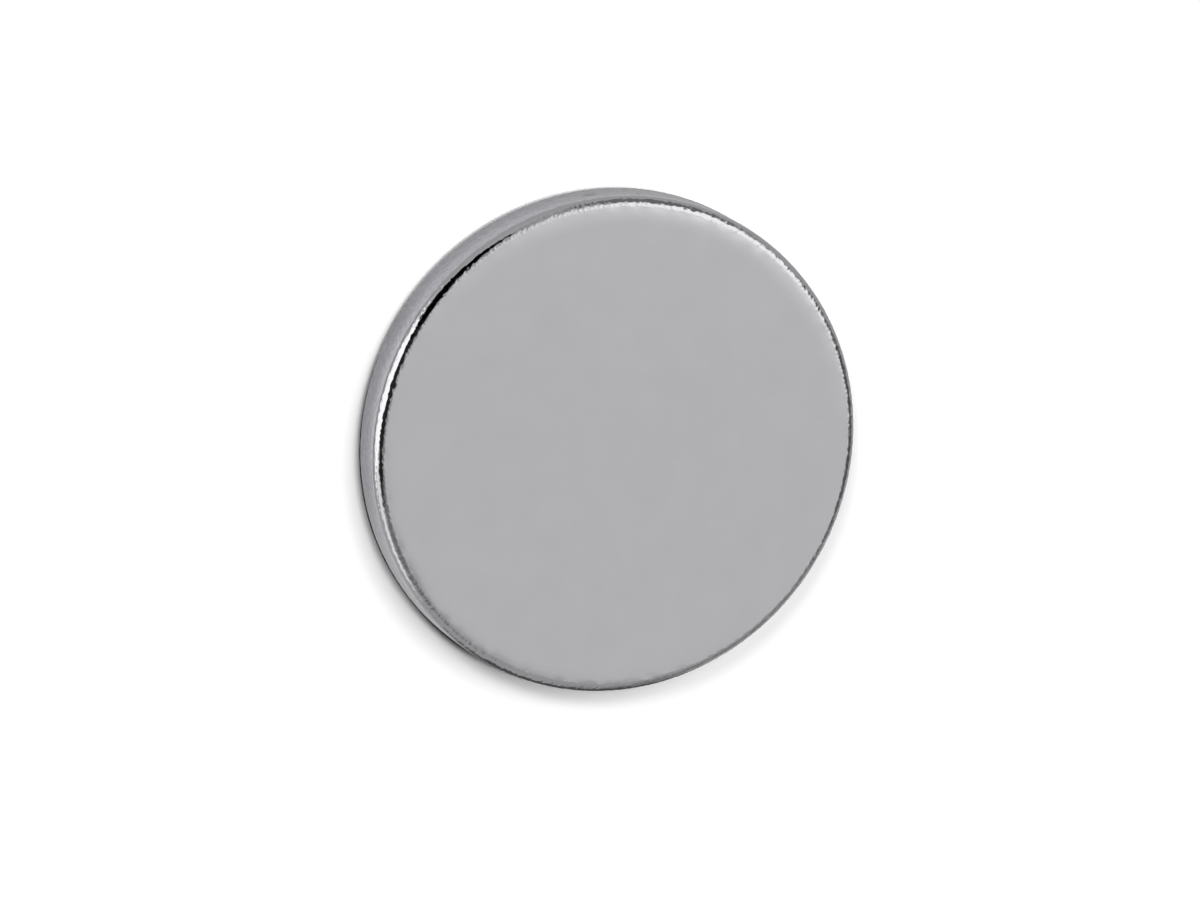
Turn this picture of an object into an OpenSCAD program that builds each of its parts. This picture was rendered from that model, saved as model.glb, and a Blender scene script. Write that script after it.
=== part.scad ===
// Plain disc magnet: one sintered disc, ground flat on both faces, tumbled at the
// edges and plated all over. It lies on one face, with the origin at the middle of
// that face and +Z up. Millimetres.

/* [Disc] */
// Diameter over the finished rim
disc_d = 25; // [8:0.5:60]
// Thickness between the two finished faces
disc_t = 3; // [1.5:0.1:12]

/* [Tumbled edge] */
// Radius that rounds each face into the rim
edge_r = 0.5; // [0.1:0.05:0.6]
// Width of the band on each face that falls away slowly before the edge radius
rolloff_w = 0.8; // [0.1:0.1:1.2]
// Radius of that slow fall: the larger, the flatter
rolloff_r = 10; // [8:1:30]

/* [Hidden] */
$fn = 144;

rim_r = disc_d / 2;
half_t = disc_t / 2;
flat_r = rim_r - edge_r - rolloff_w;

// Both arcs of the corner are placed from the point where the face and the rim
// would meet if the corner were sharp. The roll-off starts level at the flat, the
// edge radius ends upright at the rim, and the two are tangent where they join.
centre_gap = rolloff_r - edge_r;
rolloff_centre = [-edge_r - rolloff_w, -rolloff_r];
edge_centre = rolloff_centre + [rolloff_w, sqrt(centre_gap ^ 2 - rolloff_w ^ 2)];

// A point on the line from the roll-off's centre through the edge radius's centre,
// safely past the arcs that this line divides
trim_over = 1;
past_join = edge_centre
    + (edge_r + trim_over) * (edge_centre - rolloff_centre) / centre_gap;

// The slow fall of the face, as far as the line through both centres
module rolloff_band() {
    intersection() {
        translate(rolloff_centre) circle(rolloff_r);
        polygon([
            [rolloff_centre.x, edge_centre.y],
            [rolloff_centre.x, trim_over],
            past_join,
            edge_centre,
        ]);
    }
}

// The section from the axis to the rim, above the middle plane
module upper_section() {
    square([flat_r, half_t]);
    square([rim_r, half_t + edge_centre.y]);
    translate([rim_r, half_t]) {
        rolloff_band();
        translate(edge_centre) circle(edge_r);
    }
}

module magnet_disc() {
    color([0.67, 0.67, 0.68])
        translate([0, 0, half_t])
            rotate_extrude()
                union() {
                    upper_section();
                    mirror([0, 1]) upper_section();
                }
}

magnet_disc();
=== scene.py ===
import math

import bpy
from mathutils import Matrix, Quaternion, Vector


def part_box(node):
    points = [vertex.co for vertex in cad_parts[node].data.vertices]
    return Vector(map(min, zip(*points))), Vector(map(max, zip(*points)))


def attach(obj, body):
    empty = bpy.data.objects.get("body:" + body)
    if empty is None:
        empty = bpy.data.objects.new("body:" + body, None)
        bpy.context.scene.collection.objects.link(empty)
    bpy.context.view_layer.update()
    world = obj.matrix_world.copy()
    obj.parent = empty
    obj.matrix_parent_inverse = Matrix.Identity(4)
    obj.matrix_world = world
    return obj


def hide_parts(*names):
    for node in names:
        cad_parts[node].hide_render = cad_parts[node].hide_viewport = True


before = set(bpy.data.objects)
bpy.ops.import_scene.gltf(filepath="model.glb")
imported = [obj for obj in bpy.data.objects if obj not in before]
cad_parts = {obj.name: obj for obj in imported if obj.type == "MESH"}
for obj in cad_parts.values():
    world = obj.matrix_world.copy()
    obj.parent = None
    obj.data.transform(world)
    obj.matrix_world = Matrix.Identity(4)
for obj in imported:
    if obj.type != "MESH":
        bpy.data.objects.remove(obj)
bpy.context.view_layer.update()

discLow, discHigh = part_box("magnet_disc")
mm = 0.001


# ---- camera

cameraSetup = {
    "lens": 240.0,                    # a long lens, far back
    "sensor": 36.0,
    "sees": (0.01, 5.0),              # nearest and farthest, in metres
    "lean": 22.61,                    # degrees away from straight above
    "leanTowards": 146.16,            # degrees, anticlockwise from +X
    "distance": 396.6 * mm,           # from the middle of the back face, along the view
    "slide": (0.052 * mm, -0.80 * mm),
}


def addCamera(setup):
    around = math.radians(setup["leanTowards"])
    lean = Quaternion((-math.sin(around), math.cos(around), 0.0), math.radians(setup["lean"]))
    data = bpy.data.cameras.new("camera")
    data.lens = setup["lens"]
    data.sensor_width = setup["sensor"]
    data.clip_start, data.clip_end = setup["sees"]
    camera = bpy.data.objects.new("camera", data)
    bpy.context.scene.collection.objects.link(camera)
    camera.rotation_mode = "QUATERNION"
    camera.rotation_quaternion = lean
    camera.location = lean @ Vector((*setup["slide"], setup["distance"]))
    bpy.context.scene.camera = camera


addCamera(cameraSetup)
print("camera placed")


# ---- nodes, shared by all the materials

def newMaterial(name):
    material = bpy.data.materials.new(name)
    material.use_nodes = True
    material.node_tree.nodes.clear()
    return material, material.node_tree


def addNode(tree, kind, **settings):
    node = tree.nodes.new(kind)
    for key, value in settings.items():
        setattr(node, key, value)
    return node


def feed(tree, socket, value):
    if isinstance(value, bpy.types.NodeSocket):
        tree.links.new(value, socket)
    else:
        socket.default_value = value


def calculate(tree, operation, first, second=0.0, third=0.0):
    node = addNode(tree, "ShaderNodeMath", operation=operation)
    for socket, value in zip(node.inputs, (first, second, third)):
        feed(tree, socket, value)
    return node.outputs[0]


def remap(tree, value, fromLow, fromHigh, toLow=0.0, toHigh=1.0, smooth=True):
    node = addNode(tree, "ShaderNodeMapRange",
                   interpolation_type="SMOOTHSTEP" if smooth else "LINEAR")
    for key, part in (("Value", value), ("From Min", fromLow), ("From Max", fromHigh),
                      ("To Min", toLow), ("To Max", toHigh)):
        feed(tree, node.inputs[key], part)
    return node.outputs["Result"]


def noise(tree, place, size):
    node = addNode(tree, "ShaderNodeTexNoise")
    feed(tree, node.inputs["Vector"], place)
    feed(tree, node.inputs["Scale"], 1.0 / size)
    return node.outputs["Fac"]


def mixColour(tree, amount, first, second):
    node = addNode(tree, "ShaderNodeMix", data_type="RGBA")
    feed(tree, node.inputs["Factor"], amount)
    feed(tree, node.inputs["A"], first)
    feed(tree, node.inputs["B"], second)
    return node.outputs["Result"]


# ---- the magnet

magnet = {
    "radius": (discHigh.x - discLow.x) / 2,
    "thickness": discHigh.z - discLow.z,
    "edgeRadius": 0.5 * mm,
    "rolloffWidth": 0.8 * mm,         # slow fall of the face before the edge radius
    "rolloffRadius": 10.0 * mm,
    "turnSteps": 1440,
    "slices": 16,
    "faceRings": (4.0 * mm, 8.0 * mm, 11.0 * mm, 11.17 * mm),
    "wideSteps": 4,                   # rings on the start of the roll-off
    "closeSteps": 6,                  # rings on the last part, where the edge starts
    "closeShare": 0.28,
    "edgeSteps": 15,
    "wallSteps": 16,
    "underEdgeSteps": 7,
    "underRolloffSteps": 2,
}


def pullVertex(across, up):
    bpy.ops.mesh.extrude_region_move(TRANSFORM_OT_translate={"value": (across, 0.0, up)})


def turnVertex(steps, angle, middle):
    bpy.ops.mesh.spin(steps=steps, angle=angle, center=middle, axis=(0.0, -1.0, 0.0))


def makeMagnet(size):
    radius = size["radius"]
    thickness = size["thickness"]
    edge = size["edgeRadius"]
    rolloff = size["rolloffRadius"]
    flat = radius - edge - size["rolloffWidth"]
    slope = math.asin(size["rolloffWidth"] / (rolloff - edge))
    drop = (rolloff - edge) * (1.0 - math.cos(slope))   # of the edge's middle, by the roll-off

    bpy.ops.object.select_all(action="DESELECT")
    bpy.ops.mesh.primitive_plane_add(size=mm, location=(0.0, 0.0, 0.0))
    piece = bpy.context.object
    piece.name = "magnet"
    piece.data.name = "magnet"
    bpy.ops.object.mode_set(mode="EDIT")
    bpy.ops.mesh.select_mode(type="VERT")
    bpy.ops.mesh.select_all(action="SELECT")
    bpy.ops.mesh.merge(type="CENTER")
    bpy.ops.transform.translate(value=(0.0, 0.0, thickness))

    # the section, from the middle of the upper face round to the middle of the lower one
    reached = 0.0
    for ring in (*size["faceRings"], flat):
        pullVertex(ring - reached, 0.0)
        reached = ring
    upperMiddle = (flat, 0.0, thickness - rolloff)
    closeSlope = slope * size["closeShare"]
    turnVertex(size["wideSteps"], slope - closeSlope, upperMiddle)
    turnVertex(size["closeSteps"], closeSlope, upperMiddle)
    turnVertex(size["edgeSteps"], math.pi / 2 - slope,
               (radius - edge, 0.0, thickness - edge - drop))
    wall = thickness - 2 * (edge + drop)
    for step in range(size["wallSteps"]):
        pullVertex(0.0, -wall / size["wallSteps"])
    turnVertex(size["underEdgeSteps"], math.pi / 2 - slope, (radius - edge, 0.0, edge + drop))
    turnVertex(size["underRolloffSteps"], slope, (flat, 0.0, rolloff))
    pullVertex(size["faceRings"][-1] - flat, 0.0)
    pullVertex(-size["faceRings"][-1], 0.0)

    # the section is spun through one slice, and copies of the slice close the round
    slices = size["slices"]
    sliceAngle = 2 * math.pi / slices
    bpy.ops.mesh.select_all(action="SELECT")
    bpy.ops.mesh.spin(steps=size["turnSteps"] // slices, angle=sliceAngle,
                      center=(0.0, 0.0, 0.0), axis=(0.0, 0.0, 1.0))
    bpy.ops.mesh.select_all(action="SELECT")
    bpy.ops.mesh.spin(steps=slices - 1, angle=sliceAngle * (slices - 1), dupli=True,
                      center=(0.0, 0.0, 0.0), axis=(0.0, 0.0, 1.0))
    bpy.ops.mesh.select_all(action="SELECT")
    bpy.ops.mesh.remove_doubles(threshold=0.001 * mm)
    bpy.ops.mesh.normals_make_consistent(inside=False)
    bpy.ops.object.mode_set(mode="OBJECT")
    bpy.ops.object.shade_smooth()
    return piece


magnetPiece = makeMagnet(magnet)
print("magnet turned:", len(magnetPiece.data.polygons), "faces")


# ---- marks left by tumbling: fine teeth on the edges, slow waves beside them, a few dents

tumbling = {
    "teeth": {"from": 12.02 * mm, "full": 12.14 * mm, "grain": 0.13 * mm, "depth": 0.027 * mm},
    "waves": {"from": 11.60 * mm, "full": 12.00 * mm, "grain": 0.60 * mm, "depth": 0.010 * mm},
    "onWall": 0.35,                   # share of both left on the wall
    "wallFade": 0.04 * mm,            # they weaken over this depth under the wall's surface
}
dents = {                             # place in degrees, from the axis and up; push out and up
    "nick": {"turn": 163.6, "across": 12.19 * mm, "up": 2.93 * mm, "reach": 0.20 * mm,
             "push": (-0.020 * mm, -0.030 * mm)},
    "chip": {"turn": 73.6, "across": 12.35 * mm, "up": 2.83 * mm, "reach": 0.18 * mm,
             "push": (-0.015 * mm, -0.015 * mm)},
}


def ramp(value, start, end):
    return min(1.0, max(0.0, (value - start) / (end - start)))


def pressIn(piece, name, marks, size):
    mark = marks[name]
    lost = 1.0 - marks["onWall"]
    group = piece.vertex_groups.new(name=name)
    for vertex in piece.data.vertices:
        across = math.hypot(vertex.co.x, vertex.co.y)
        weight = ramp(across, mark["from"], mark["full"])
        weight *= 1.0 - lost * ramp(across, size["radius"] - marks["wallFade"], size["radius"])
        if weight > 0.0:
            group.add([vertex.index], weight, "REPLACE")
    texture = bpy.data.textures.new(name, "CLOUDS")
    texture.noise_scale = mark["grain"]
    texture.noise_depth = 0
    press = piece.modifiers.new(name, "DISPLACE")
    press.texture = texture
    press.texture_coords = "LOCAL"
    press.vertex_group = name
    press.mid_level = 0.5
    press.strength = mark["depth"]
    bpy.context.view_layer.objects.active = piece
    bpy.ops.object.modifier_apply(modifier=name)


def pushDent(piece, mark):
    turn = math.radians(mark["turn"])
    spot = Vector((mark["across"] * math.cos(turn), mark["across"] * math.sin(turn), mark["up"]))
    out, up = mark["push"]
    bpy.context.view_layer.objects.active = piece
    bpy.ops.object.mode_set(mode="EDIT")
    bpy.ops.mesh.select_mode(type="VERT")
    bpy.ops.mesh.select_all(action="DESELECT")
    bpy.ops.object.mode_set(mode="OBJECT")
    nearest = min(piece.data.vertices, key=lambda vertex: (vertex.co - spot).length)
    nearest.select = True
    bpy.ops.object.mode_set(mode="EDIT")
    bpy.ops.transform.translate(value=(out * math.cos(turn), out * math.sin(turn), up),
                                use_proportional_edit=True, proportional_size=mark["reach"],
                                proportional_edit_falloff="SMOOTH")
    bpy.ops.object.mode_set(mode="OBJECT")


for markName in ("teeth", "waves"):
    pressIn(magnetPiece, markName, tumbling, magnet)
for dentSettings in dents.values():
    pushDent(magnetPiece, dentSettings)
print("edges marked")


# ---- nickel plate

nickel = {
    "faceColour": (0.640, 0.638, 0.656, 1.0),
    # the wall's colour is partly its own duller plate and partly painted shade, darker because it
    # mirrors dimmer surroundings than the face does
    "wallColourAndShade": (0.572, 0.566, 0.610, 1.0),
    "faceRoughness": 0.13,
    "edgeRoughness": 0.12,
    "wallRoughness": 0.20,
    "roughnessChange": 0.05,
    "wallFrom": (0.025 * mm, 0.005 * mm),    # under the wall's surface: its look begins, is full
    "edgeFadeIn": 0.15 * mm,
    "bump": {"grain": 0.30 * mm, "height": 0.0006 * mm},
    "mottle": {"grain": 1.8 * mm, "depth": 0.07},
    "speck": {"grain": 0.35 * mm, "depth": 0.012},
    "wallGrain": {"grain": 0.30 * mm, "depth": 0.50},
    "flecks": (                       # stains on the rim: turn, height, half length, half height
        (97.0, 1.65 * mm, 0.50 * mm, 0.38 * mm), (86.0, 2.00 * mm, 0.12 * mm, 0.50 * mm),
    ),
    "fleckShade": 0.64,
    "fleckCore": 0.4,                 # share of a stain that is fully dark
}


def vary(tree, value, pattern, depth):
    return calculate(tree, "MULTIPLY_ADD", calculate(tree, "SUBTRACT", pattern, 0.5), depth, value)


def spotDistance(tree, place, turn, across, up, length, width):
    node = addNode(tree, "ShaderNodeMapping", vector_type="TEXTURE")
    feed(tree, node.inputs["Vector"], place)
    angle = math.radians(turn)
    node.inputs["Location"].default_value = (across * math.cos(angle), across * math.sin(angle), up)
    node.inputs["Rotation"].default_value = (0.0, 0.0, angle)
    node.inputs["Scale"].default_value = (length, length, width)
    size = addNode(tree, "ShaderNodeVectorMath", operation="LENGTH")
    feed(tree, size.inputs[0], node.outputs[0])
    return size.outputs["Value"]


def makeNickel(look, size):
    material, tree = newMaterial("nickel_plate")
    place = addNode(tree, "ShaderNodeTexCoord").outputs["Object"]
    parts = addNode(tree, "ShaderNodeSeparateXYZ")
    feed(tree, parts.inputs[0], place)
    across = calculate(tree, "SQRT", calculate(
        tree, "MULTIPLY_ADD", parts.outputs["X"], parts.outputs["X"],
        calculate(tree, "MULTIPLY", parts.outputs["Y"], parts.outputs["Y"])))
    radius = size["radius"]
    wallBegins, wallFull = look["wallFrom"]
    onWall = remap(tree, across, radius - wallBegins, radius - wallFull)
    edgeStart = radius - size["edgeRadius"]
    onEdge = remap(tree, across, edgeStart - look["edgeFadeIn"], edgeStart)

    speck = noise(tree, place, look["speck"]["grain"])
    shade = vary(tree, 1.0, noise(tree, place, look["mottle"]["grain"]), look["mottle"]["depth"])
    shade = vary(tree, shade, speck, look["speck"]["depth"])
    shade = vary(tree, shade, noise(tree, place, look["wallGrain"]["grain"]),
                 calculate(tree, "MULTIPLY", onWall, look["wallGrain"]["depth"]))
    for turn, height, length, width in look["flecks"]:
        shade = calculate(tree, "MULTIPLY", shade, remap(
            tree, spotDistance(tree, place, turn, radius, height, length, width),
            look["fleckCore"], 1.0, look["fleckShade"], 1.0))
    # the wall takes the darker colour: partly its own tone, partly painted shade
    colour = mixColour(tree, onWall, look["faceColour"], look["wallColourAndShade"])
    scaled = addNode(tree, "ShaderNodeVectorMath", operation="SCALE")
    feed(tree, scaled.inputs["Vector"], colour)
    feed(tree, scaled.inputs["Scale"], shade)

    rough = remap(tree, onEdge, 0.0, 1.0, look["faceRoughness"], look["edgeRoughness"], False)
    rough = remap(tree, onWall, 0.0, 1.0, rough, look["wallRoughness"], False)
    rough = vary(tree, rough, speck, look["roughnessChange"])

    bump = addNode(tree, "ShaderNodeBump")
    feed(tree, bump.inputs["Strength"], 1.0)
    feed(tree, bump.inputs["Distance"], look["bump"]["height"])
    feed(tree, bump.inputs["Height"], noise(tree, place, look["bump"]["grain"]))

    shader = addNode(tree, "ShaderNodeBsdfPrincipled")
    shader.inputs["Metallic"].default_value = 1.0
    feed(tree, shader.inputs["Base Color"], scaled.outputs[0])
    feed(tree, shader.inputs["Roughness"], rough)
    feed(tree, shader.inputs["Normal"], bump.outputs["Normal"])
    out = addNode(tree, "ShaderNodeOutputMaterial")
    feed(tree, out.inputs["Surface"], shader.outputs[0])
    return material


magnetPiece.data.materials.append(makeNickel(nickel, magnet))
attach(magnetPiece, "root")
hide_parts("magnet_disc")
print("plating done")


# ---- studio

floor = {
    "side": 3.0,
    "below": 0.010 * mm,
    "colour": (1.0, 1.0, 1.0, 1.0),
    "plainFrom": 50 * mm,             # plain white background begins here
    "plainTo": 100 * mm,
}

# A hidden black stop under the rounded edge, set off centre: it keeps stray light from creeping in
# under the edge and casts a darker contact shadow on the floor than the magnet alone would.
underEdge = {"radius": 12.285 * mm, "height": 0.2 * mm, "aside": 0.20 * mm, "asideTowards": 232}

# Lamps over the table. Each stands towards an angle round the axis and at a height above
# the floor, both in degrees.
lamps = {
    "overhead": {"towards": 70, "height": 85, "size": 0.15, "power": 3.5},
    "softbox": {"towards": 70, "height": 70, "size": 0.50, "power": 5.0},
    "fill": {"towards": 130, "height": 55, "size": 0.20, "power": 2.5},
}
lampDistance = 1.0
world = {"background": 1.0, "ambient": 0.02}

# What the plate mirrors above the floor: cards and panels round the table, seen from the
# magnet. Each is as wide as its spread and fades over a share of it. Later ones stand in
# front.
room = {"radius": 0.6, "walls": 0.42}
afterFloor = 0.5                      # share of a card's light left once the floor has sent it on
cards = {
    "ceiling": {"towards": 6, "height": 62, "spread": 30, "fade": 0.17, "glow": 0.68},
    "halo": {"towards": 40, "height": 56, "spread": 34, "fade": 0.65, "glow": 0.95},
    "softbox": {"towards": 24, "height": 51, "spread": 26, "fade": 0.60, "glow": 1.32},
    "lowRight": {"towards": 350, "height": 22, "spread": 30, "fade": 0.80, "glow": 0.10},
    "lowFront": {"towards": 305, "height": 5, "spread": 34, "fade": 0.60, "glow": 0.25},
    "lowHaze": {"towards": 114, "height": 0, "spread": 34, "fade": 0.80, "glow": 0.50},
    "lowTop": {"towards": 62, "height": 20, "spread": 30, "fade": 0.50, "glow": 0.18},
    "dimLeft": {"towards": 235, "height": 60, "spread": 26, "fade": 0.80, "glow": 0.20},
}

# A low card bent round the rim, so near that the edge mirrors it and the face hardly does. It
# is clear but for its spots, placed by the turn round the axis and by the height at which the
# edge sees them, in degrees. Later ones stand in front.
edgeCard = {
    "radius": 12.6 * mm, "bottom": 2.75 * mm, "top": 4.8 * mm,
    "edgeAcross": 12.3 * mm, "edgeUp": 2.9 * mm,
    "middle": 146,
    "torn": {"grain": 0.20 * mm, "turn": 15},       # the spots' ends break up by this turn
}
edgeSpots = {
    "side": {"towards": 147, "height": 35, "wide": 32, "tall": 50, "fade": 0.15, "glow": 0.0},
    "top": {"towards": 170, "height": 65, "wide": 25, "tall": 30, "fade": 0.20, "glow": 0.02},
    "spill": {"towards": 195, "height": 5, "wide": 25, "tall": 35, "fade": 0.40, "glow": 1.0},
    "white": {"towards": 165, "height": -10, "wide": 20, "tall": 50, "fade": 0.15, "glow": 1.5},
}

# The sheet lying on the table round the magnet, as the plate mirrors it. Its glow is painted light
# and shade: a painted shadow of the magnet near the rim and towards shadeTowards, a painted dark
# line in front of the patch, a painted lighter side towards brighterTowards and a painted bright
# patch towards patchTowards.
table = {
    "side": 1.2,
    "below": 0.005 * mm,
    "rings": (                        # gap from the rim, glow
        # the low glow next to the rim is a painted shadow of the magnet
        (0.0, 0.45), (0.25 * mm, 0.45), (0.5 * mm, 0.50), (0.75 * mm, 0.65),
        (1.0 * mm, 0.70), (2.0 * mm, 0.50), (4.0 * mm, 0.45),
    ),
    "ringsAhead": (                   # the same, in front of the bright patch
        (0.0, 0.40), (0.5 * mm, 0.45), (0.7 * mm, 0.50), (0.8 * mm, 0.80),
        (1.0 * mm, 0.90), (1.2 * mm, 0.70), (1.3 * mm, 0.35), (2.0 * mm, 0.35), (4.0 * mm, 0.45),
    ),
    "brighterTowards": 228.0, "brighter": 0.10,
    "brighterFrom": 0.8,              # cosine of the turn at which it begins
    "shadeTowards": 266.0, "shadeInner": 18.0, "shadeOuter": 34.0, "shade": 0.20,
    "patchTowards": 170.0, "patchFrom": 17.0 * mm, "patchTo": 20.5 * mm,
    "patchInner": 18.0, "patchOuter": 34.0, "patchGlow": 1.5,
}


def direction(towards, height):
    around, up = math.radians(towards), math.radians(height)
    return Vector((math.cos(up) * math.cos(around), math.cos(up) * math.sin(around),
                   math.sin(up)))


def onlyInReflections(thing):
    thing.visible_camera = False
    thing.visible_diffuse = False
    thing.visible_shadow = False
    thing.visible_transmission = False
    thing.visible_volume_scatter = False


def fresh(tree):
    bounced = addNode(tree, "ShaderNodeLightPath").outputs["Diffuse Depth"]
    return remap(tree, bounced, 0.0, 1.0, 1.0, afterFloor, False)


def glowMaterial(name, build):
    material, tree = newMaterial(name)
    place = addNode(tree, "ShaderNodeTexCoord").outputs["Object"]
    emission = addNode(tree, "ShaderNodeEmission")
    feed(tree, emission.inputs["Strength"],
         calculate(tree, "MULTIPLY", build(tree, place), fresh(tree)))
    out = addNode(tree, "ShaderNodeOutputMaterial")
    feed(tree, out.inputs["Surface"], emission.outputs[0])
    return material


def blend(tree, amount, first, second):
    return remap(tree, amount, 0.0, 1.0, first, second, False)


def facing(tree, towards, aim):
    node = addNode(tree, "ShaderNodeVectorMath", operation="DOT_PRODUCT")
    feed(tree, node.inputs[0], towards)
    node.inputs[1].default_value = aim
    return node.outputs["Value"]


def unit(tree, place):
    node = addNode(tree, "ShaderNodeVectorMath", operation="NORMALIZE")
    feed(tree, node.inputs[0], place)
    return node.outputs[0]


def roomGlow(tree, place):
    towards = unit(tree, place)
    glow = room["walls"]
    for card in cards.values():
        outer = math.radians(card["spread"])
        cover = remap(tree, facing(tree, towards, direction(card["towards"], card["height"])),
                      math.cos(outer), math.cos(outer * (1.0 - card["fade"])))
        glow = blend(tree, cover, glow, card["glow"])
    return glow


def turnedParts(tree, place, towards):
    turned = addNode(tree, "ShaderNodeMapping")
    feed(tree, turned.inputs["Vector"], place)
    turned.inputs["Rotation"].default_value[2] = -math.radians(towards)
    parts = addNode(tree, "ShaderNodeSeparateXYZ")
    feed(tree, parts.inputs[0], turned.outputs[0])
    return parts.outputs["X"], parts.outputs["Y"], parts.outputs["Z"]


def spotCover(tree, turn, height, spot):
    aside = calculate(tree, "DIVIDE", calculate(
        tree, "SUBTRACT", turn, spot["towards"] - edgeCard["middle"]), spot["wide"])
    above = calculate(tree, "DIVIDE", calculate(tree, "SUBTRACT", height, spot["height"]),
                      spot["tall"])
    reach = calculate(tree, "SQRT", calculate(
        tree, "MULTIPLY_ADD", aside, aside, calculate(tree, "MULTIPLY", above, above)))
    return remap(tree, reach, 1.0 - spot["fade"], 1.0, 1.0, 0.0)


def edgeCardMaterial():
    material, tree = newMaterial("edgeCard")
    place = addNode(tree, "ShaderNodeTexCoord").outputs["Object"]
    x, y, z = turnedParts(tree, place, edgeCard["middle"])
    turn = calculate(tree, "DEGREES", calculate(tree, "ARCTAN2", y, x))
    turn = vary(tree, turn, noise(tree, place, edgeCard["torn"]["grain"]), edgeCard["torn"]["turn"])
    height = calculate(tree, "DEGREES", calculate(
        tree, "ARCTAN2", calculate(tree, "SUBTRACT", z, edgeCard["edgeUp"]),
        edgeCard["radius"] - edgeCard["edgeAcross"]))
    through, glow = 1.0, 0.0
    for spot in edgeSpots.values():
        cover = spotCover(tree, turn, height, spot)
        through = blend(tree, cover, through, 0.0)
        glow = blend(tree, cover, glow, spot["glow"])
    clear = addNode(tree, "ShaderNodeBsdfTransparent")
    feed(tree, clear.inputs["Color"], through)
    emission = addNode(tree, "ShaderNodeEmission")
    feed(tree, emission.inputs["Strength"], calculate(tree, "MULTIPLY", glow, fresh(tree)))
    both = addNode(tree, "ShaderNodeAddShader")
    feed(tree, both.inputs[0], clear.outputs[0])
    feed(tree, both.inputs[1], emission.outputs[0])
    out = addNode(tree, "ShaderNodeOutputMaterial")
    feed(tree, out.inputs["Surface"], both.outputs[0])
    return material


def ringGlow(tree, gap, rings):
    first, last = rings[0][0], rings[-1][0]
    node = addNode(tree, "ShaderNodeValToRGB")
    feed(tree, node.inputs[0], remap(tree, gap, first, last, smooth=False))
    stops = node.color_ramp.elements
    while len(stops) < len(rings):
        stops.new(1.0)
    for stop, (place, glow) in zip(stops, rings):
        stop.position = (place - first) / (last - first)
        stop.color = (glow, glow, glow, 1.0)
    return node.outputs["Color"]


def tableGlow(tree, place):
    along, sideways = turnedParts(tree, place, table["patchTowards"])[:2]
    length = addNode(tree, "ShaderNodeVectorMath", operation="LENGTH")
    feed(tree, length.inputs[0], place)
    gap = calculate(tree, "SUBTRACT", length.outputs["Value"], magnet["radius"])
    turn = calculate(tree, "ABSOLUTE", calculate(tree, "ARCTAN2", sideways, along))
    ahead = remap(tree, turn, math.radians(table["patchInner"]),
                  math.radians(table["patchOuter"]), 1.0, 0.0)
    # ring glow, with the painted shadow of the magnet near the rim
    glow = blend(tree, ahead, ringGlow(tree, gap, table["rings"]),
                 ringGlow(tree, gap, table["ringsAhead"]))
    outward = unit(tree, place)
    # painted lighter side of the sheet
    lift = remap(tree, facing(tree, outward, direction(table["brighterTowards"], 0)),
                 table["brighterFrom"], 1.0, 1.0, 1.0 + table["brighter"])
    # painted shadow of the magnet on the sheet, towards shadeTowards
    shade = remap(tree, facing(tree, outward, direction(table["shadeTowards"], 0)),
                  math.cos(math.radians(table["shadeOuter"])),
                  math.cos(math.radians(table["shadeInner"])), 1.0, table["shade"])
    glow = calculate(tree, "MULTIPLY", calculate(tree, "MULTIPLY", glow, lift), shade)
    # painted bright patch on the sheet
    patch = remap(tree, along, table["patchFrom"], table["patchTo"])
    return blend(tree, calculate(tree, "MULTIPLY", ahead, patch), glow, table["patchGlow"])


def addRoom():
    bpy.ops.object.select_all(action="DESELECT")
    bpy.ops.mesh.primitive_uv_sphere_add(segments=64, ring_count=32, radius=room["radius"])
    shell = bpy.context.object
    shell.name = "room"
    shell.data.materials.append(glowMaterial("room", roomGlow))
    onlyInReflections(shell)


def addEdgeCard():
    middle = (edgeCard["bottom"] + edgeCard["top"]) / 2
    bpy.ops.object.select_all(action="DESELECT")
    bpy.ops.mesh.primitive_cylinder_add(vertices=360, radius=edgeCard["radius"],
                                        depth=edgeCard["top"] - edgeCard["bottom"],
                                        end_fill_type="NOTHING", location=(0.0, 0.0, middle))
    bpy.ops.object.transform_apply(location=True, rotation=True, scale=True)
    card = bpy.context.object
    card.name = "edgeCard"
    card.data.materials.append(edgeCardMaterial())
    onlyInReflections(card)


def addTableCard():
    bpy.ops.object.select_all(action="DESELECT")
    bpy.ops.mesh.primitive_plane_add(size=table["side"], location=(0.0, 0.0, -table["below"]))
    sheet = bpy.context.object
    sheet.name = "tableCard"
    sheet.data.materials.append(glowMaterial("tableCard", tableGlow))
    onlyInReflections(sheet)


def seenDirectly(tree):
    path = addNode(tree, "ShaderNodeLightPath")
    return calculate(tree, "MAXIMUM", path.outputs["Is Camera Ray"],
                     calculate(tree, "MAXIMUM", path.outputs["Is Glossy Ray"],
                               path.outputs["Is Transmission Ray"]))


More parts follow.
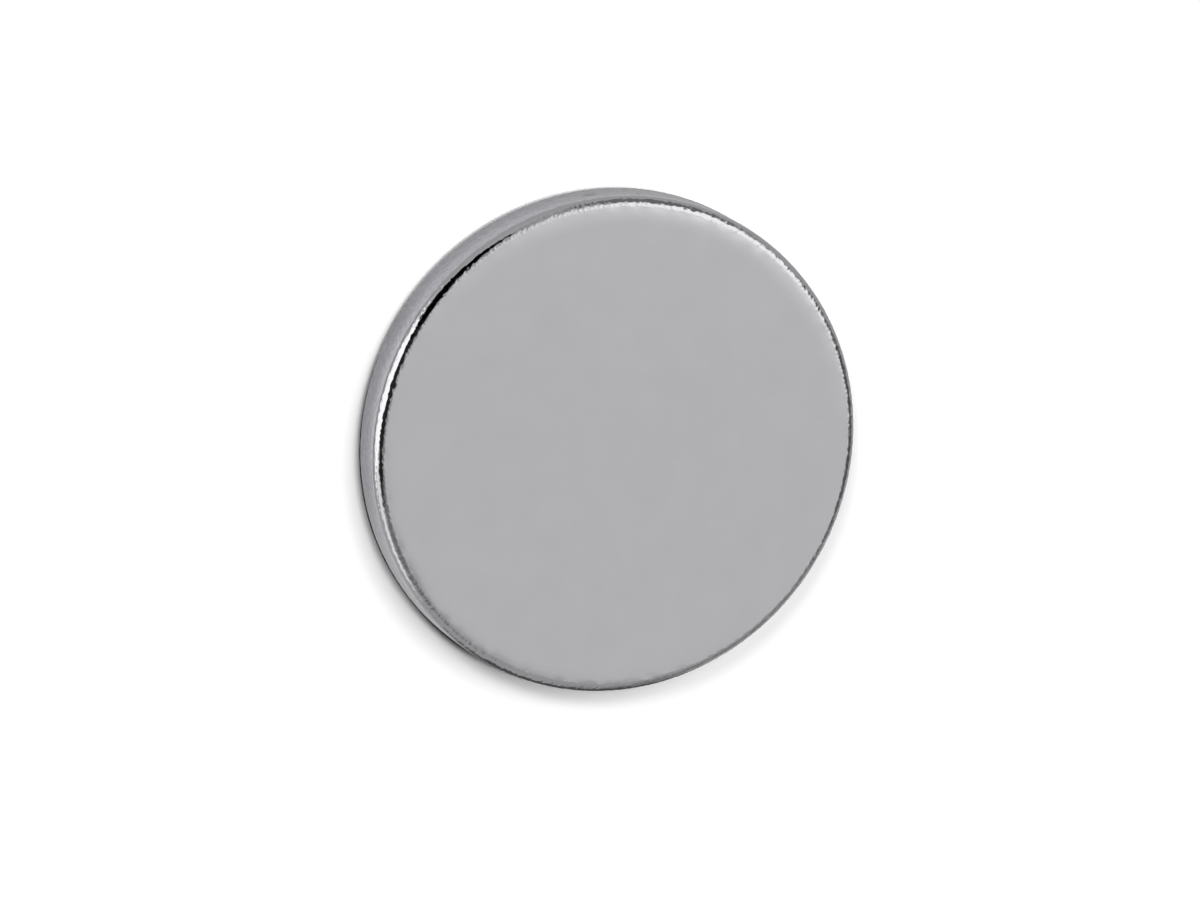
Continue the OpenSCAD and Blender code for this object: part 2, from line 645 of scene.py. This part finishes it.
def addFloor():
    bpy.ops.object.select_all(action="DESELECT")
    bpy.ops.mesh.primitive_plane_add(size=floor["side"], location=(0.0, 0.0, -floor["below"]))
    plane = bpy.context.object
    plane.name = "floor"
    material, tree = newMaterial("floor")
    paint = addNode(tree, "ShaderNodeBsdfDiffuse")
    paint.inputs["Color"].default_value = floor["colour"]
    white = addNode(tree, "ShaderNodeEmission")
    white.inputs["Strength"].default_value = world["background"]
    away = addNode(tree, "ShaderNodeVectorMath", operation="LENGTH")
    feed(tree, away.inputs[0], addNode(tree, "ShaderNodeTexCoord").outputs["Object"])
    plain = remap(tree, away.outputs["Value"], floor["plainFrom"], floor["plainTo"])
    mix = addNode(tree, "ShaderNodeMixShader")
    feed(tree, mix.inputs[0], calculate(tree, "MULTIPLY", plain, seenDirectly(tree)))
    feed(tree, mix.inputs[1], paint.outputs[0])
    feed(tree, mix.inputs[2], white.outputs[0])
    out = addNode(tree, "ShaderNodeOutputMaterial")
    feed(tree, out.inputs["Surface"], mix.outputs[0])
    plane.data.materials.append(material)


# a black stop, unseen by the camera and by reflections, that casts an added contact shadow
def addUnderEdge():
    place = direction(underEdge["asideTowards"], 0) * underEdge["aside"]
    place.z = underEdge["height"] / 2
    bpy.ops.object.select_all(action="DESELECT")
    bpy.ops.mesh.primitive_cylinder_add(vertices=360, radius=underEdge["radius"],
                                        depth=underEdge["height"], location=place)
    stop = bpy.context.object
    stop.name = "underEdge"
    material, tree = newMaterial("underEdge")
    paint = addNode(tree, "ShaderNodeBsdfDiffuse")
    paint.inputs["Color"].default_value = (0.0, 0.0, 0.0, 1.0)
    out = addNode(tree, "ShaderNodeOutputMaterial")
    feed(tree, out.inputs["Surface"], paint.outputs[0])
    stop.data.materials.append(material)
    stop.visible_camera = False
    stop.visible_glossy = False


def addLamp(name, lamp):
    outward = direction(lamp["towards"], lamp["height"])
    data = bpy.data.lights.new(name, "AREA")
    data.shape = "DISK"
    data.size = lamp["size"]
    data.energy = lamp["power"]
    light = bpy.data.objects.new(name, data)
    bpy.context.scene.collection.objects.link(light)
    light.location = outward * lampDistance
    light.rotation_euler = outward.to_track_quat("Z", "Y").to_euler()
    light.visible_camera = False
    light.visible_glossy = False


def setWorld():
    sky = bpy.data.worlds.new("studio")
    bpy.context.scene.world = sky
    sky.use_nodes = True
    tree = sky.node_tree
    tree.nodes.clear()
    air = addNode(tree, "ShaderNodeBackground")
    feed(tree, air.inputs["Strength"],
         blend(tree, seenDirectly(tree), world["ambient"], world["background"]))
    air.inputs["Color"].default_value = (1.0, 1.0, 1.0, 1.0)
    out = addNode(tree, "ShaderNodeOutputWorld")
    feed(tree, out.inputs["Surface"], air.outputs[0])


addFloor()
addUnderEdge()
addTableCard()
addEdgeCard()
addRoom()
for lampName, lampSettings in lamps.items():
    addLamp(lampName, lampSettings)
setWorld()
bpy.context.scene.view_settings.view_transform = "Standard"
print("studio built")
